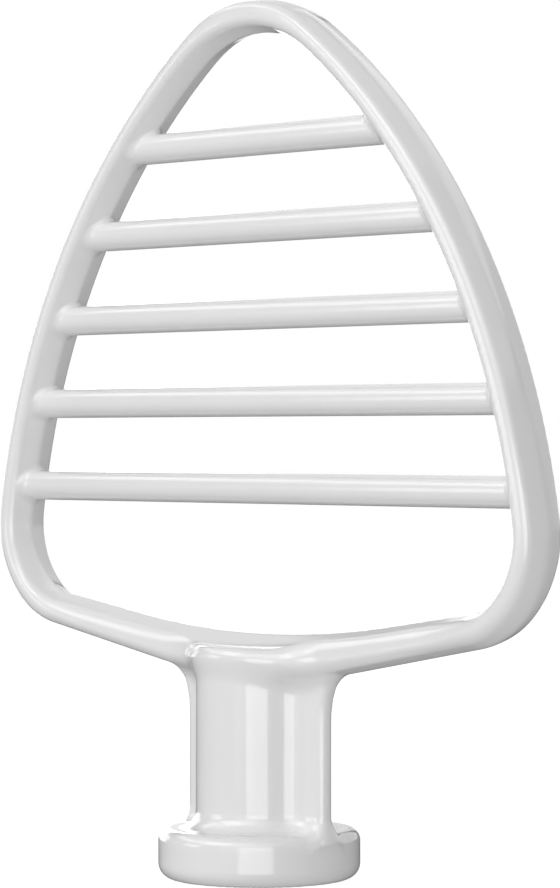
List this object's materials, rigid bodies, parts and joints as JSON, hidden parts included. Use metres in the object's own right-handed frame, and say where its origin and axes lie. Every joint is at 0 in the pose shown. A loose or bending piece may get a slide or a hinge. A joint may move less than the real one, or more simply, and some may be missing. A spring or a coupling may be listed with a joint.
{
  "type": "pastry beater",
  "caption": "Cast pastry beater for a stand mixer: a rounded triangular frame crossed by round bars, on a winged hub with a blind drive socket in its collar.",
  "frame": {"origin": "centre of the collar's flat end face, which the beater stands on", "axes": "+Z along the drive socket from the collar to the frame's apex, +X across the frame along its bars, +Y through the frame's opening"},
  "size_m": [0.1374, 0.035, 0.152],
  "materials": {
    "coated_casting": "gloss white non-stick coating over an aluminium casting"
  },
  "bodies": {
    "root": {"pastry_beater": "coated_casting"}
  },
  "joints": []
}
